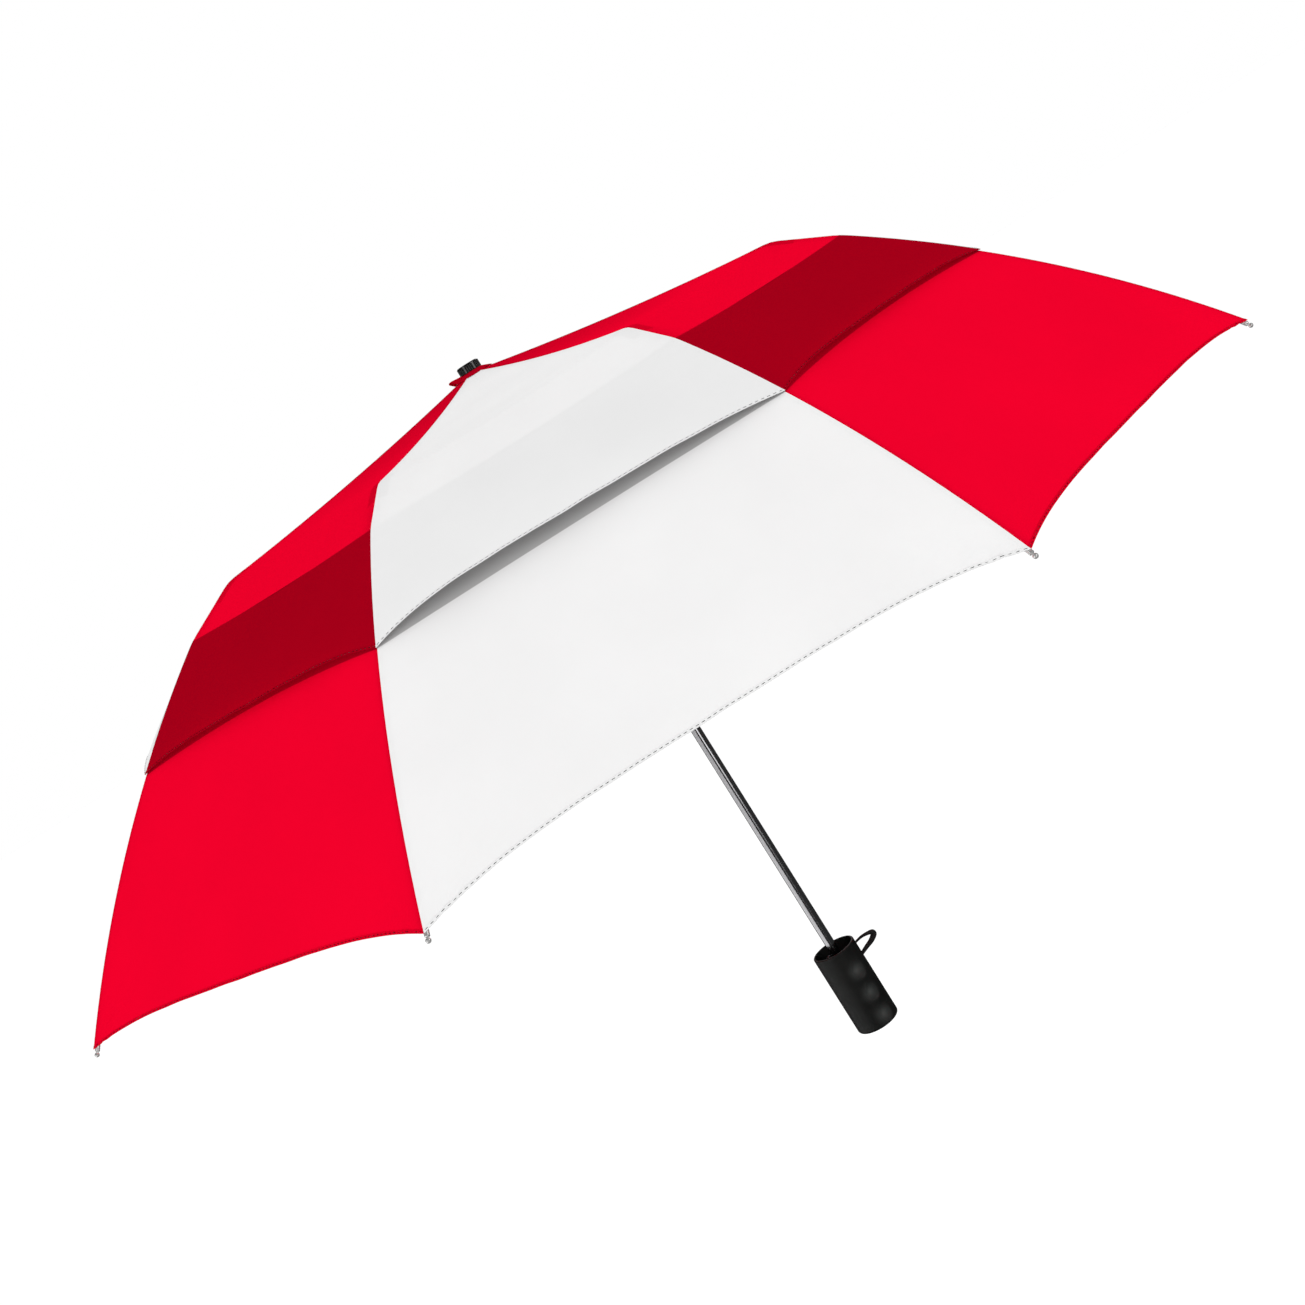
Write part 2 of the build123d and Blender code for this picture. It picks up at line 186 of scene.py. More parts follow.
CHORD = (RIM[0] - SEAM[0], RIM[1] - SEAM[1])
UPPER_END = offset(RIM, CHORD, LAYER_GAP)
LOWER_SEAM, LOWER_VENT = [offset(p, CHORD, -LAYER_GAP) for p in (SEAM, VENT)]
BOW = arc(SEAM, VENT, UPPER_END, 200)
HEM_AT = int(np.searchsorted(BOW[:, 0], VENT[0])) + 1  # the bow's point just past the vent's hem
MIDDLE = ((APEX[0] + ELBOW[0]) / 2, (APEX[1] + ELBOW[1]) / 2 - DIP)
UPPER = Line([*arc(APEX, MIDDLE, ELBOW, 60), *BOW[: HEM_AT + 1]])
LOWER = Line(arc(LOWER_SEAM, LOWER_VENT, RIM, 200))
ELBOW_S = float(UPPER.s_of(ELBOW[0]))
SEAM_S = float(UPPER.s_of(SEAM[0]))
OVERLAP = UPPER.length - SEAM_S  # how far the upper canopy covers the lower one
LOWER_MAP = 1.0  # the lower canopy's cloth map starts here, and the upper one's at 0
COVER_END = LOWER_MAP + OVERLAP  # on that map, where the upper canopy's hem lies over the ribs
CROWN_SHADE = (0.06, 0.26)  # from where to where the painted shade beside the crown fades out along the cloth
SHADE_EDGE = 0.0005  # over how much of the cloth a layer's painted shade starts


# ---- the cloth's surface ---------------------------------------------------------------
def puckers(gore, side, gap, s):
    """Small gathers beside a seam, gap metres from it."""
    phase = 1.7 * gore + 0.9 * side
    first, second = (2 * pi * s / pitch for pitch in PUCKER_PITCHES)
    wave = np.sin(first + phase) + 0.6 * np.sin(second + 2 * phase)
    return PUCKER_H * np.exp(-gap / PUCKER_REACH) * np.clip(gap / 0.002, 0, 1) * wave


def ripples(gore, y, to_hem):
    """The hem's slight waviness between two ribs."""
    first, second = (2 * pi * y / pitch for pitch in RIPPLE_PITCHES)
    wave = np.sin(first + 2.1 * gore) + 0.5 * np.sin(second + gore)
    return RIPPLE_H * np.exp(-to_hem / RIPPLE_REACH) * wave


def pulls(gore, u, s, length):
    """Folds that run from a corner where the hem is tied to the rib."""
    to_tip = np.maximum(length - s, 0.0) + 0.004
    fan = (1 - np.abs(u)) / (to_tip / length + 0.05)
    fold = np.sin(PULL_FOLDS * fan + gore) * np.exp(-to_tip / PULL_REACH) * np.clip(fan, 0, 1)
    return PULL_H * fold * np.clip(2 - fan, 0, 1)


def upper_surface(gore, u, s):
    """A point of the upper canopy: u is -1 to 1 across the panel, s is along the rib's line."""
    colour = COLOURS[gore % 2]
    crown = 1 - u * u
    mouth = (1 - np.abs(u) ** HEM_POWER) * (1 + VENT_LEAN[gore] * u)
    share = np.clip((s - SEAM_S) / OVERLAP, 0, 1)
    s = s - share * VENT_DRAW[colour] * mouth
    r, z, nr, nz = UPPER.at(s)
    half = r * sin(HALF)
    lift = mouth * (VENT_LIFT[colour] * smooth(SEAM_S - 0.03, UPPER.length, s) ** 1.3)
    sag = smooth(0.02, ELBOW_S, s) * (1 - smooth(ELBOW_S, UPPER.length, s))
    lift = lift - crown * UPPER_SAG * sag
    lift = lift + puckers(gore, np.sign(u), half * (1 - np.abs(u)), s)
    lift = lift + ripples(gore, u * half, UPPER.length - s) * crown
    return np.stack([r * cos(HALF) + lift * nr, u * half, z + lift * nz], axis=-1)


def lower_surface(gore, u, s):
    """A point of the lower canopy."""
    crown = 1 - u * u
    v = np.clip(s / LOWER.length, 0, 1)
    scallop = SCALLOP[COLOURS[gore % 2]] * (1 - np.abs(u) ** HEM_POWER)
    end = LOWER.s_of(RIM[0] - scallop / cos(HALF))
    s = s - (LOWER.length - end) * smooth(0.4, 1.0, v)
    r, z, nr, nz = LOWER.at(s)
    sag = LOWER_SAG * (1 - v * v) + BELLY * np.sin(pi * v)
    half = r * sin(HALF)
    lift = puckers(gore, np.sign(u), half * (1 - np.abs(u)), s)
    lift = lift + ripples(gore, u * half, end - s) * crown
    lift = lift + pulls(gore, u, s, LOWER.length) - crown * sag
    return np.stack([r * cos(HALF) + lift * nr, u * half, z + lift * nz], axis=-1)


def normals_of(surface, gore, u, s):
    """Outward normals by small steps across and along."""
    e = 0.0005
    across = surface(gore, np.clip(u + e, -1, 1), s) - surface(gore, np.clip(u - e, -1, 1), s)
    along = surface(gore, u, s + e) - surface(gore, u, s - e)
    n = np.cross(along, across)
    return n / np.linalg.norm(n, axis=-1, keepdims=True)


# ---- meshes ----------------------------------------------------------------------------
def new_object(name, points, faces, materials=(), face_material=None):
    mesh = bpy.data.meshes.new(name)
    mesh.from_pydata([tuple(p) for p in points], [], [tuple(f) for f in faces])
    mesh.polygons.foreach_set("use_smooth", [True] * len(mesh.polygons))
    for material in materials:
        mesh.materials.append(material)
    if face_material is not None:
        mesh.polygons.foreach_set("material_index", face_material)
    mesh.update()
    piece = bpy.data.objects.new(name, mesh)
    bpy.context.scene.collection.objects.link(piece)
    return piece


class Parts:
    """Points, faces and normals gathered into one mesh, with a cloth map in metres."""

    def __init__(self):
        self.points, self.faces, self.normals, self.uv, self.kind = [], [], [], [], []

    def grid(self, points, normals, uv, kind, flip):
        rows, columns = points.shape[:2]
        base = len(self.points)
        self.points += list(points.reshape(-1, 3))
        self.normals += list(normals.reshape(-1, 3))
        self.uv += list(uv.reshape(-1, 2))
        for i in range(rows - 1):
            for j in range(columns - 1):
                a = base + i * columns + j
                quad = (a, a + 1, a + columns + 1, a + columns)
                self.faces.append(quad[::-1] if flip else quad)
                self.kind.append(kind)

    def stitch(self, place, along, normal, kind, half_height):
        """One stitch: a spindle that lies along the cloth and shows on both faces."""
        across = np.cross(along, normal)
        base = len(self.points)
        rings = [(-0.5, 0.25), (-0.38, 0.9), (0.0, 1.0), (0.38, 0.9), (0.5, 0.25)]
        for t, size in rings:
            for a in range(6):
                turn = 2 * pi * a / 6
                out = size * (across * cos(turn) * STITCH_R + normal * sin(turn) * half_height)
                self.points.append(place + along * t * STITCH_L + out)
                self.normals.append(out / np.linalg.norm(out))
                self.uv.append((0.0, 0.0))
        for k in range(len(rings) - 1):
            for a in range(6):
                b = (a + 1) % 6
                low, high = base + 6 * k, base + 6 * (k + 1)
                self.faces.append((low + a, low + b, high + b, high + a))
                self.kind.append(kind)
        for ring, order in ((0, -1), (len(rings) - 1, 1)):
            self.faces.append(tuple(base + 6 * ring + a for a in range(6))[::order])
            self.kind.append(kind)

    def build(self, name, materials, angle):
        points, normals = turned(self.points, angle), turned(self.normals, angle)
        piece = new_object(name, points, self.faces, materials, self.kind)
        mesh = piece.data
        layer = mesh.uv_layers.new(name="cloth")
        corner = np.empty(len(mesh.loops), np.int32)
        mesh.loops.foreach_get("vertex_index", corner)
        layer.data.foreach_set("uv", np.asarray(self.uv, np.float32)[corner].ravel())
        mesh.normals_split_custom_set_from_vertices([tuple(n) for n in normals])
        return piece


# distances from the seam at which the cloth has columns, then shares of what is left
NEAR_SEAM = np.array([0.0, 0.0008, 0.0030, 0.0036, 0.0044, 0.0070, 0.0100, 0.0140, 0.0190, 0.0250])
REST_SHARES = np.linspace(0, 1, 17)[1:]
FULL_WIDTH = 0.060  # half widths under this have their seam columns drawn together


def columns(half):
    """Values of |u| across half a panel of that width, from the seam to the middle."""
    gaps = NEAR_SEAM * np.minimum(1.0, half / FULL_WIDTH)[:, None]
    last = gaps[:, -1:]
    rest = last + (half[:, None] - last) * REST_SHARES
    return 1 - np.concatenate([gaps, rest], axis=1) / half[:, None]


def half_panel(parts, surface, line, gore, side, rows, seam_strip, map_from):
    """The cloth of half a panel, with its flat-felled seam strip if it carries one."""
    half = line.at(rows)[0] * sin(HALF)
    share = columns(half)
    u, s = side * share, np.repeat(rows[:, None], share.shape[1], axis=1)
    points, normals = surface(gore, u, s), normals_of(surface, gore, u, s)
    if seam_strip:
        gap = (1 - share) * half[:, None]
        scale = np.minimum(1.0, half / FULL_WIDTH)[:, None]
        raised = 1 - smooth(SEAM_STRIP[0] * scale, SEAM_STRIP[1] * scale, gap)
        points = points + normals * (SEAM_T * raised)[..., None]
    uv = np.stack([u * half[:, None], s + map_from], axis=-1)
    parts.grid(points, normals, uv, 0, side < 0)


def hem(parts, surface, line, gore, side, map_from):
    """The folded hem along the panel's lower edge and the row of stitches that holds it."""
    profile = [(HEM_W, 0.15), (HEM_W - 0.0003, 1), (0.0006, 1), (0.0, 0.6), (-0.0002, 0)]
    profile += [(d, -h) for d, h in profile[:-1][::-1]]
    u = side * np.linspace(1.0, 0.0, 70)
    rings, out, along = [], [], []
    for distance, height in profile:
        s = np.full_like(u, line.length - distance)
        normal = normals_of(surface, gore, u, s)
        rings.append(surface(gore, u, s) + normal * height * HEM_T)
        out.append(normal * (1 if height > 0.1 else -1 if height < -0.1 else 0.1))
        along.append(s + map_from)
    half = line.at(line.length)[0] * sin(HALF)
    uv = np.stack([np.repeat([u * half], len(profile), axis=0), np.array(along)], axis=-1)
    parts.grid(np.array(rings), np.array(out), uv, 0, side < 0)
    count = int(half / STITCH_PITCH)
    places = side * (np.arange(count) + 0.5) / count
    s = np.full_like(places, line.length - HEM_STITCH)
    centre, normal = surface(gore, places, s), normals_of(surface, gore, places, s)
    ahead = surface(gore, places + 0.002, s) - centre
    ahead /= np.linalg.norm(ahead, axis=-1, keepdims=True)
    for place, direction, up in zip(centre, ahead, normal):
        parts.stitch(place, direction, up, 1, HEM_T + STITCH_R)


def soften(piece, body):
    """The cloth rides on its rib's body and gets a mesh of its own."""
    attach(piece, body)
    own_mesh(piece)


def rib_azimuth(rib):
    """The azimuth of rib 1 to 8."""
    return HALF + (rib - 1) * STEP


def rows_between(first, last, pitch):
    return np.linspace(first, last, int(round((last - first) / pitch)) + 1)


# name, surface, line, from, to, body, whether hemmed, where its cloth map starts, what it replaces
LAYERS = (
    ("vent_top", upper_surface, UPPER, 0.0, ELBOW_S, "rib", False, 0.0, None),
    ("vent_skirt", upper_surface, UPPER, ELBOW_S, UPPER.length, "wing", True, 0.0, "upper_canopy"),
    ("lower_panel", lower_surface, LOWER, 0.0, LOWER.length, "wing", True, LOWER_MAP, "lower_canopy"),
)


def canopy():
    """Every half panel of both canopies, each on the body of its own rib."""
    for gore in range(RIBS):
        colour = COLOURS[gore % 2]
        for side, hand in ((-1, "right"), (1, "left")):
            rib = (gore if side > 0 else gore - 1) % RIBS + 1
            for layer, surface, line, first, last, carrier, hemmed, map_from, stands_for in LAYERS:
                parts = Parts()
                rows = rows_between(first, last, ROW_PITCH)
                half_panel(parts, surface, line, gore, side, rows, colour == "white", map_from)
                if hemmed:
                    hem(parts, surface, line, gore, side, map_from)
                name = f"{layer}_{colour}_{gore + 1}_{hand}"
                piece = parts.build(name, [CLOTHS[colour], THREADS[colour]], gore * STEP)
                width = float(line.at(last)[0]) * sin(HALF)
                soften(piece, f"{carrier}_{rib}")
                if stands_for:
                    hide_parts(f"{stands_for}_{colour}")


# ---- materials -------------------------------------------------------------------------
def material(name, **sockets):
    """A Principled material with its even values on the shader's own sockets."""
    made = bpy.data.materials.new(name)
    made.use_nodes = True
    shader = made.node_tree.nodes["Principled BSDF"]
    for socket, value in sockets.items():
        shader.inputs[socket.replace("_", " ")].default_value = value
    return made, made.node_tree, shader


def node(tree, kind, **settings):
    made = tree.nodes.new(kind)
    for key, value in settings.items():
        if key in made.inputs:
            made.inputs[key].default_value = value
        else:
            setattr(made, key, value)
    return made


def object_map(tree, scale=(1, 1, 1)):
    coordinates = node(tree, "ShaderNodeTexCoord")
    mapping = node(tree, "ShaderNodeMapping", Scale=scale)
    tree.links.new(coordinates.outputs["Object"], mapping.inputs["Vector"])
    return mapping.outputs[0]


def noise(tree, vector, scale, detail=3.0, roughness=0.5):
    made = node(tree, "ShaderNodeTexNoise", Scale=scale, Detail=detail, Roughness=roughness)
    tree.links.new(vector, made.inputs["Vector"])
    return made.outputs["Fac"]


def ramp(tree, value, low, high, first, last):
    """A value from low to high as a number or colour from first to last."""
    if hasattr(first, "__len__"):
        made = node(tree, "ShaderNodeMix", data_type="RGBA")
        tree.links.new(ramp(tree, value, low, high, 0, 1), made.inputs[0])
        made.inputs[6].default_value = (*first, 1)
        made.inputs[7].default_value = (*last, 1)
        return made.outputs[2]
    spread = node(tree, "ShaderNodeMapRange")
    for key, number in zip(("From Min", "From Max", "To Min", "To Max"), (low, high, first, last)):
        spread.inputs[key].default_value = number
    tree.links.new(value, spread.inputs["Value"])
    return spread.outputs[0]


def vary(tree, shader, socket, value, low, high, first, last):
    """One of the shader's sockets follows a value."""
    tree.links.new(ramp(tree, value, low, high, first, last), shader.inputs[socket])


def bump(tree, shader, height, strength, distance):
    made = node(tree, "ShaderNodeBump", Strength=strength, Distance=distance)
    tree.links.new(height, made.inputs["Height"])
    tree.links.new(made.outputs[0], shader.inputs["Normal"])
    return made.outputs[0]


def maths(tree, operation, first, second=None):
    made = node(tree, "ShaderNodeMath", operation=operation)
    for socket, value in zip(made.inputs, (first, second)):
        if value is None:
            continue
        if isinstance(value, (int, float)):
            socket.default_value = value
        else:
            tree.links.new(value, socket)
    return made.outputs[0]


def cloth_map(tree):
    """The cloth's own map, in metres: across from the panel's middle, and along the rib."""
    uv = node(tree, "ShaderNodeUVMap", uv_map="cloth")
    split = node(tree, "ShaderNodeSeparateXYZ")
    tree.links.new(uv.outputs[0], split.inputs[0])
    return split.outputs[0], split.outputs[1]


def weave(tree, pitch):
    """Plain weave from the cloth's own map: threads over and under each other."""
    across, along = cloth_map(tree)
    warp = maths(tree, "SINE", maths(tree, "MULTIPLY", across, 2 * pi / pitch))
    weft = maths(tree, "SINE", maths(tree, "MULTIPLY", along, 2 * pi / pitch))
    return maths(tree, "MULTIPLY", warp, weft)


def painted_layer_shade(tree, two_layer_shade, mouth, rise, crown):
    """Painted shade in the cloth's colour: darker where two layers overlap, in the vent's mouth under
    the skirt, and beside the crown.
    """
    across, along = cloth_map(tree)
    share = maths(tree, "DIVIDE", across, VENT[0] * sin(HALF))
    bulge = maths(tree, "SUBTRACT", 1, maths(tree, "MULTIPLY", share, share))
    raised = maths(tree, "ADD", along, maths(tree, "MULTIPLY", bulge, rise))
    is_lower = maths(tree, "GREATER_THAN", along, (UPPER.length + LOWER_MAP) / 2)
    past_seam = ramp(tree, along, SEAM_S - SHADE_EDGE, SEAM_S + SHADE_EDGE, 0, 1)
    covered = ramp(tree, raised, COVER_END - SHADE_EDGE, COVER_END + SHADE_EDGE, 1, 0)
    upper = maths(tree, "MAXIMUM", maths(tree, "SUBTRACT", past_seam, is_lower), 0)
    lower = maths(tree, "MULTIPLY", covered, is_lower)
    inside = node(tree, "ShaderNodeNewGeometry").outputs["Backfacing"]
    depth = ramp(tree, inside, 0, 1, 1 - mouth, 1 - two_layer_shade)
    dark = maths(tree, "MULTIPLY", upper, 1 - two_layer_shade)
    dark = maths(tree, "ADD", dark, maths(tree, "MULTIPLY", lower, depth))
    painted_crown_shade = ramp(tree, along, *CROWN_SHADE, crown, 1)
    return maths(tree, "MULTIPLY", painted_crown_shade, maths(tree, "SUBTRACT", 1, dark))


def multiplied(tree, first, second):
    made = node(tree, "ShaderNodeMix", data_type="RGBA", blend_type="MULTIPLY")
    made.inputs[0].default_value = 1.0
    tree.links.new(first, made.inputs[6])
    tree.links.new(second, made.inputs[7])
    return made.outputs[2]


def cloth_material(name, colour, through, share, **shades):
    """Fine pongee: a dull face that lets some light through."""
    made, tree, shader = material(name, Roughness=0.8, Specular_IOR_Level=0.0)
    threads = weave(tree, WEAVE_PITCH)
    # painted shade, which darkens both the cloth's colour and the light it lets through
    shade = painted_layer_shade(tree, **shades)
    cloudy = noise(tree, object_map(tree), 9.0, 4.0)
    body = ramp(tree, cloudy, 0.35, 0.7, [c * 0.965 for c in colour], colour)
    woven = multiplied(tree, body, ramp(tree, threads, -1, 1, (0.965,) * 3, (1.0,) * 3))
    tree.links.new(multiplied(tree, woven, shade), shader.inputs["Base Color"])
    normal = bump(tree, shader, threads, 0.25, 0.00008)
    glow = node(tree, "ShaderNodeBsdfTranslucent")
    lit = ramp(tree, cloudy, 0.35, 0.7, [c * 0.965 for c in through], through)
    tree.links.new(multiplied(tree, lit, shade), glow.inputs["Color"])
    tree.links.new(normal, glow.inputs["Normal"])
    both = node(tree, "ShaderNodeMixShader")
    both.inputs[0].default_value = share
    tree.links.new(shader.outputs[0], both.inputs[1])
    tree.links.new(glow.outputs[0], both.inputs[2])
    tree.links.new(both.outputs[0], tree.nodes["Material Output"].inputs["Surface"])
    return made


def patch_material(name, colour):
    """Thicker cloth of the elbows' patches, which lets no light through."""
    made, tree, shader = material(name, Roughness=0.7, Specular_IOR_Level=0.1)
    mottle = noise(tree, object_map(tree), 160.0)
    vary(tree, shader, "Base Color", mottle, 0.3, 0.7, [c * 0.9 for c in colour], colour)
    bump(tree, shader, weave(tree, WEAVE_PITCH), 0.3, 0.00008)
    return made


def thread_material(name, colour):
    made, tree, shader = material(name, Roughness=0.5, Sheen_Weight=0.2)
    twist = noise(tree, object_map(tree), 1500.0, 2.0)
    vary(tree, shader, "Base Color", twist, 0.3, 0.7, [c * 0.8 for c in colour], colour)
    bump(tree, shader, twist, 0.3, 0.0001)
    return made


def shaft_material():
    """Dark chromed tube with the faint lengthways lines of its polishing."""
    made, tree, shader = material("gunmetal_tube", Metallic=1.0)
    lines = noise(tree, object_map(tree, (900, 900, 9)), 1.0, 4.0)
    vary(tree, shader, "Base Color", lines, 0.3, 0.7, (0.36, 0.36, 0.37), (0.42, 0.42, 0.43))
    vary(tree, shader, "Roughness", lines, 0.3, 0.7, 0.14, 0.20)
    bump(tree, shader, lines, 0.06, 0.0001)
    return made


def grip_material():
    """Black soft-touch rubber with a fine grain, and a painted highlight in the middle of each finger
    dent.
    """
    made, tree, shader = material("soft_touch_grip", Specular_IOR_Level=0.22)
    grain = noise(tree, object_map(tree), 2600.0, 2.0)
    patches = noise(tree, object_map(tree), 45.0, 3.0)
    plain = ramp(tree, patches, 0.3, 0.7, (0.0032, 0.0040, 0.0036), (0.0056, 0.0066, 0.0060))
    coordinates = node(tree, "ShaderNodeTexCoord").outputs["Object"]
    # a painted highlight, palest in the middle of each finger dent
    painted_dent_glint = 0
    for height in DENT_HEIGHTS:
        centre = (DENT_R * cos(DENT_AZ), DENT_R * sin(DENT_AZ), height)
        distance = node(tree, "ShaderNodeVectorMath", operation="DISTANCE")
        distance.inputs[1].default_value = centre
        tree.links.new(coordinates, distance.inputs[0])
        near = ramp(tree, distance.outputs["Value"], 0.001, DENT_REACH, 1, 0)
        painted_dent_glint = maths(tree, "MAXIMUM", near, painted_dent_glint)
    # the painted highlight's colour, mixed over the rubber's own
    worn = node(tree, "ShaderNodeMix", data_type="RGBA")
    worn.inputs[7].default_value = (0.040, 0.046, 0.044, 1)
    tree.links.new(maths(tree, "MULTIPLY", painted_dent_glint, painted_dent_glint), worn.inputs[0])
    tree.links.new(plain, worn.inputs[6])
    tree.links.new(worn.outputs[2], shader.inputs["Base Color"])
    vary(tree, shader, "Roughness", patches, 0.3, 0.7, 0.42, 0.55)
    bump(tree, shader, grain, 0.22, 0.0002)
    return made


def moulded_material(name, shade, rough, coat=0.0):
    """Moulded plastic: a faint flow pattern and a little unevenness in its gloss."""
    made, tree, shader = material(name, Coat_Weight=coat, Coat_Roughness=0.05)
    flow = noise(tree, object_map(tree), 120.0, 3.0)
    vary(tree, shader, "Base Color", flow, 0.3, 0.7, (shade * 0.8,) * 3, (shade,) * 3)
    vary(tree, shader, "Roughness", flow, 0.3, 0.7, rough * 0.85, rough * 1.15)
    bump(tree, shader, noise(tree, object_map(tree), 1400.0), 0.05, 0.0001)
    return made


def metal_material(name, colour, rough, scratch, metallic=1.0):
    """Bare or plated metal with fine scratches."""
    made, tree, shader = material(name, Metallic=metallic)
    lines = noise(tree, object_map(tree, (1, 1, 0.15)), scratch, 4.0)
    dark = [c * 0.86 for c in colour]
    vary(tree, shader, "Base Color", lines, 0.3, 0.7, dark, colour)
    vary(tree, shader, "Roughness", lines, 0.3, 0.7, rough * 0.8, rough * 1.3)
    bump(tree, shader, lines, 0.05, 0.0001)
    return made


def enamel_material():
    """Black stoving enamel with slight orange peel and a few paler worn spots."""
    made, tree, shader = material("rib_enamel", Coat_Weight=0.25, Coat_Roughness=0.12)
    peel = noise(tree, object_map(tree), 700.0, 2.0)
    wear = noise(tree, object_map(tree), 60.0, 5.0, 0.7)
    vary(tree, shader, "Base Color", wear, 0.55, 0.78, (0.016, 0.016, 0.017), (0.05, 0.05, 0.052))
    vary(tree, shader, "Roughness", wear, 0.3, 0.7, 0.26, 0.38)
    bump(tree, shader, peel, 0.06, 0.0002)
    return made


def rod_material():
    """Black glass-fibre rod, its fibres showing faintly along it."""
    made, tree, shader = material("fibre_rod", Coat_Weight=0.3, Coat_Roughness=0.15)
    fibres = noise(tree, object_map(tree), 420.0, 5.0, 0.65)
    vary(tree, shader, "Base Color", fibres, 0.35, 0.7, (0.012, 0.012, 0.012), (0.045, 0.043, 0.04))
    vary(tree, shader, "Roughness", fibres, 0.3, 0.7, 0.28, 0.42)
    bump(tree, shader, fibres, 0.12, 0.0002)
    return made


def braid_material():
    """Braided nylon cord."""
    made, tree, shader = material("braided_cord", Roughness=0.7, Specular_IOR_Level=0.2)
    strands = node(tree, "ShaderNodeTexWave", Scale=420.0, Distortion=1.5, Detail=1.0)
    strands.bands_direction = "DIAGONAL"
    tree.links.new(object_map(tree), strands.inputs["Vector"])
    height = strands.outputs["Fac"]
    vary(tree, shader, "Base Color", height, 0, 1, (0.003, 0.003, 0.003), (0.014, 0.014, 0.014))
    bump(tree, shader, height, 0.6, 0.0003)
    return made


RED, RED_THROUGH = (0.75, 0.0004, 0.021), (0.92, 0.0005, 0.026)
WHITE, WHITE_THROUGH = (0.80,) * 3, (0.86,) * 3
# how much painted shade the two layers, the vent's mouth under the skirt and the cloth beside the crown
# get
RED_PAINTED_SHADES = {"two_layer_shade": 0.58, "mouth": 0.48, "rise": MOUTH_RISE["red"], "crown": 0.72}
WHITE_PAINTED_SHADES = {"two_layer_shade": 1.0, "mouth": 0.52, "rise": MOUTH_RISE["white"], "crown": 1.0}
CLOTHS = {
    "red": cloth_material("red_pongee", RED, RED_THROUGH, 0.30, **RED_PAINTED_SHADES),
    "white": cloth_material("white_pongee", WHITE, WHITE_THROUGH, 0.06, **WHITE_PAINTED_SHADES),
}
PATCH = patch_material("red_patch", (0.50, 0.0004, 0.010))
THREADS = {
    "red": thread_material("red_thread", (0.22, 0.0005, 0.006)),
    "white": thread_material("grey_thread", (0.50, 0.50, 0.51)),
}
FINISHES = {
    "grip_rubber": grip_material(),
    "black_plastic": moulded_material("black_moulding", 0.008, 0.38),
    "cap_gloss": moulded_material("gloss_cap", 0.006, 0.16, 0.6),
    "shaft_metal": shaft_material(),
    "spring_steel": metal_material("spring_steel", (0.52, 0.52, 0.54), 0.25, 900.0),
    "rib_metal": enamel_material(),
    "rod_fibre": rod_material(),
    "tip_nickel": metal_material("nickel_tip", (0.78, 0.78, 0.77), 0.22, 500.0, 0.72),
    "cord_black": braid_material(),
    "red_cloth": CLOTHS["red"],
    "white_cloth": CLOTHS["white"],
}


def dress_frame():
    """Every CAD node takes the finish of its slot."""
    for part in frame["record"]["subparts"]:
        piece = nodes[part["node"]]
        piece.data.materials.clear()
        piece.data.materials.append(FINISHES[part["material_slot"]])
        piece.data.polygons.foreach_set("material_index", [0] * len(piece.data.polygons))


# ---- small soft pieces -----------------------------------------------------------------
ROSETTE = (  # the collar's outline from the cap outwards, as (radius, height)
    (0.0046, 0.7609), (0.0085, 0.7609), (0.0118, 0.7605), (0.0135, 0.7597), (0.0155, 0.7586),
    (0.0175, 0.7576), (0.0190, 0.7569), (0.0200, 0.7565),
)
ROSETTE_T = 0.0005
FLAP_AT, BUMP_AT, FLAP_SPAN = 3.45, 5.9, 0.20  # azimuths of its loose ends, and their half width
FLAP_OUT, FLAP_UP, BUMP_UP = 0.0060, 0.0050, 0.0012
STRAP_AZ, STRAP_R = radians(15), 0.0015
STRAP_ROUTE = (
    (0.0202, 0.0799), (0.0255, 0.0808), (0.0319, 0.0815), (0.0390, 0.0804), (0.0443, 0.0788),
    (0.0450, 0.0762), (0.0415, 0.0735), (0.0375, 0.0715), (0.0327, 0.0702), (0.0275, 0.0686),
    (0.0202, 0.0660),
)
STRAP_FULLNESS = (0.8, 0.8, 1.0, 1.25, 1.7, 2.1, 1.95, 1.75, 1.6, 1.4, 1.2)


def rosette():
    """A gathered cloth collar from the cap down to the canopy, with two loose ends."""
    around = np.linspace(0, 2 * pi, 145)
    rings = []
    for lift, outline in ((0.0, ROSETTE), (-ROSETTE_T, ROSETTE[::-1])):
        for r, z in outline:
            edge = smooth(ROSETTE[0][0], ROSETTE[-1][0], r) ** 2
            folds = 0.0004 * np.sin(7 * around + 0.5) + 0.0003 * np.sin(13 * around)
            flap = np.exp(-(((around - FLAP_AT) / FLAP_SPAN) ** 8))
            bump_up = np.exp(-(((around - BUMP_AT) / FLAP_SPAN) ** 2))
            reach = r + edge * (0.0005 * np.sin(5 * around + 1) + FLAP_OUT * flap)
            height = z + lift + edge * (folds + FLAP_UP * flap + BUMP_UP * bump_up)
            rings.append(np.column_stack([reach * np.cos(around), reach * np.sin(around), height]))
    points = np.array([*rings, rings[0]])
    normals = np.cross(np.gradient(points, axis=0), np.gradient(points, axis=1))
    normals /= np.maximum(np.linalg.norm(normals, axis=-1, keepdims=True), 1e-12)
    parts = Parts()
    parts.grid(points, normals, points[..., :2], 0, True)
    piece = parts.build("rosette_cloth", [CLOTHS["red"]], 0.0)
    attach(piece, "mast")
    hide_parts("rosette")


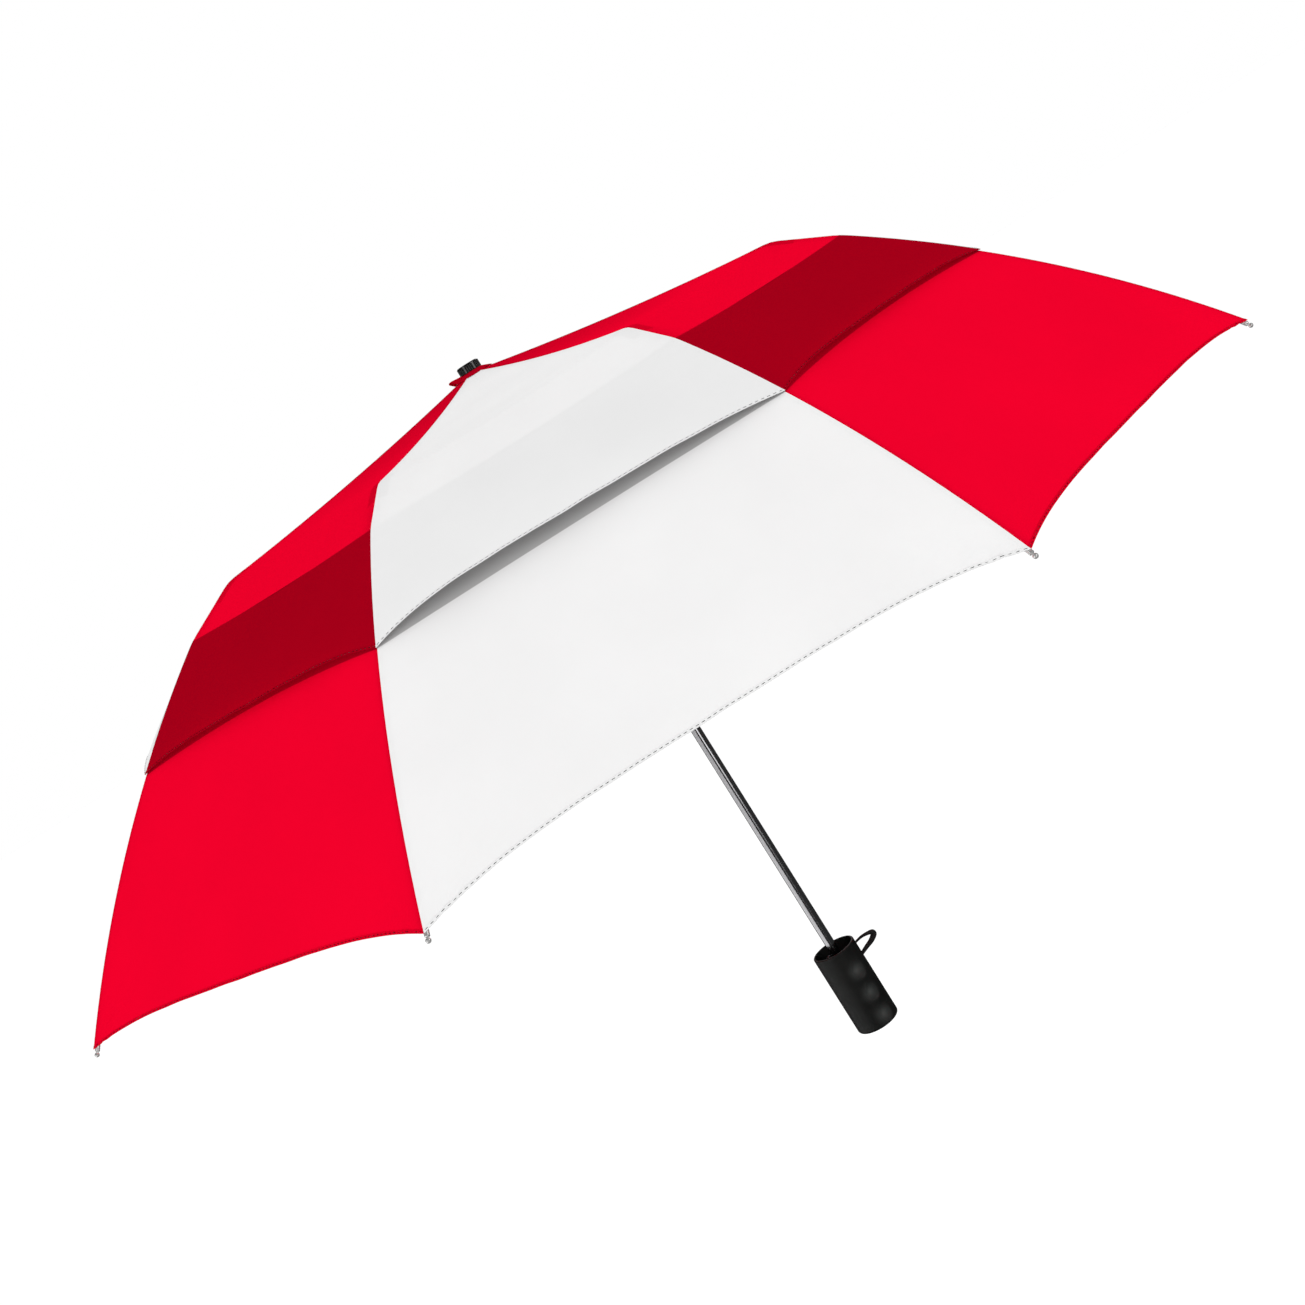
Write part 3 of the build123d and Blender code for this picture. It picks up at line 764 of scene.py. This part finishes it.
def elbow_pad(rib):
    """The cloth patch between a rib's elbow and the canopy."""
    azimuth = rib_azimuth(rib)
    along = rows_between(ELBOW_S - PAD_BEFORE, ELBOW_S + PAD_AFTER, PAD_PITCH)
    r, z, nr, nz = (value[:, None] for value in UPPER.at(along))
    side = PAD_HALF_W * np.linspace(-1, 1, 21)
    drop = PAD_GAP + PAD_FALL * np.maximum(np.abs(side) - PAD_FLAT, 0)
    points = np.stack(np.broadcast_arrays(r - drop * nr, side, z - drop * nz), axis=-1)
    normals = np.stack(np.broadcast_arrays(nr, 0 * side, nz), axis=-1)
    uv = np.stack(np.broadcast_arrays(side, along[:, None]), axis=-1)
    parts = Parts()
    parts.grid(points, normals, uv, 0, True)
    piece = parts.build(f"elbow_pad_{rib}", [PATCH], azimuth)
    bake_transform(piece)


def wrist_cord():
    """The wrist loop, close to the route of its CAD solid, and fuller where it turns back."""
    out = (cos(STRAP_AZ), sin(STRAP_AZ))
    curve = bpy.data.curves.new("wrist_loop", "CURVE")
    curve.dimensions = "3D"
    curve.bevel_depth = STRAP_R
    curve.bevel_resolution = 6
    curve.use_fill_caps = True
    spline = curve.splines.new("NURBS")
    spline.points.add(len(STRAP_ROUTE) - 1)
    for point, (r, z), full in zip(spline.points, STRAP_ROUTE, STRAP_FULLNESS):
        point.co = (r * out[0], r * out[1], z, 1)
        point.radius = full
    spline.order_u = 3
    spline.use_endpoint_u = True
    spline.resolution_u = 8
    piece = bpy.data.objects.new("wrist_loop", curve)
    bpy.context.scene.collection.objects.link(piece)
    curve.materials.append(FINISHES["cord_black"])
    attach(piece, "handle")
    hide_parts("wrist_strap")
    r, z = STRAP_ROUTE[0]


def shorten_spring():
    """The button's spring gets a mesh of its own."""
    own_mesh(nodes["button_spring"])


# ---- studio ----------------------------------------------------------------------------
def studio():
    """A white room that reflections see dark, with its floor, lamps and cards."""
    world = bpy.data.worlds.new("studio")
    bpy.context.scene.world = world
    world.use_nodes = True
    tree = world.node_tree
    sky = tree.nodes["Background"]
    sky.inputs["Color"].default_value = (1, 1, 1, 1)
    rays = node(tree, "ShaderNodeLightPath")
    vary(tree, sky, "Strength", rays.outputs["Is Glossy Ray"], 0, 1, 1.0, DARK_STUDIO)
    floor()
    for name, place, size, power, seen in LAMPS:
        light = bpy.data.lights.new(name, "AREA")
        light.shape = "RECTANGLE"
        light.size, light.size_y = size
        light.energy = power
        lamp = bpy.data.objects.new(name, light)
        lamp.location = place
        lamp.rotation_mode = "QUATERNION"
        lamp.rotation_quaternion = (Vector(LAMPS_AIM) - Vector(place)).to_track_quat("-Z", "Y")
        lamp.visible_glossy = seen
        bpy.context.scene.collection.objects.link(lamp)
    for card in CARDS:
        reflector(*card)
    bpy.context.scene.view_settings.view_transform = "Standard"


def floor():
    """A pale floor well below the grip, which reflections don't see."""
    square = ((-1, -1), (1, -1), (1, 1), (-1, 1))
    corners = [(x * FLOOR_REACH, y * FLOOR_REACH, FLOOR_Z) for x, y in square]
    piece = new_object("floor", corners, [(0, 1, 2, 3)])
    glow = {"Emission_Color": (1, 1, 1, 1), "Emission_Strength": 0.14}
    made, tree, shader = material("pale_floor", Roughness=0.9, Specular_IOR_Level=0.1, **glow)
    mottle = noise(tree, object_map(tree), 2.0)
    vary(tree, shader, "Base Color", mottle, 0.3, 0.7, (0.90,) * 3, (0.92,) * 3)
    piece.data.materials.append(made)
    piece.visible_glossy = False


def reflector(name, first, last, heights, fade, glow):
    """A standing card that only reflections see, its glow changing from one height to another."""
    corners = [(*first, heights[0]), (*last, heights[0]), (*last, heights[1]), (*first, heights[1])]
    card = new_object(name, corners, [(0, 1, 2, 3)])
    made, tree, shader = material(f"{name}_white", Roughness=0.9, Emission_Color=(1, 1, 1, 1))
    place = node(tree, "ShaderNodeSeparateXYZ")
    tree.links.new(object_map(tree), place.inputs[0])
    vary(tree, shader, "Emission Strength", place.outputs[2], *fade, *glow)
    card.data.materials.append(made)
    card.visible_camera = card.visible_diffuse = card.visible_transmission = card.visible_shadow = False


def camera():
    """At the front, a little below the canopy's top, and rolled so that the shaft leans."""
    lens = bpy.data.cameras.new("view")
    lens.lens, lens.sensor_width = LENS, SENSOR
    lens.shift_x, lens.shift_y = SHIFT
    eye = bpy.data.objects.new("view", lens)
    turn = Matrix.Identity(4)
    for angle, axis in zip(EYE_TURN, "ZXZ"):
        turn = turn @ Matrix.Rotation(angle, 4, axis)
    eye.matrix_world = Matrix.Translation(EYE) @ turn
    bpy.context.scene.collection.objects.link(eye)
    bpy.context.scene.camera = eye


dress_frame()
canopy()
rosette()
for rib in range(1, RIBS + 1):
    elbow_pad(rib)
wrist_cord()
shorten_spring()
studio()
camera()
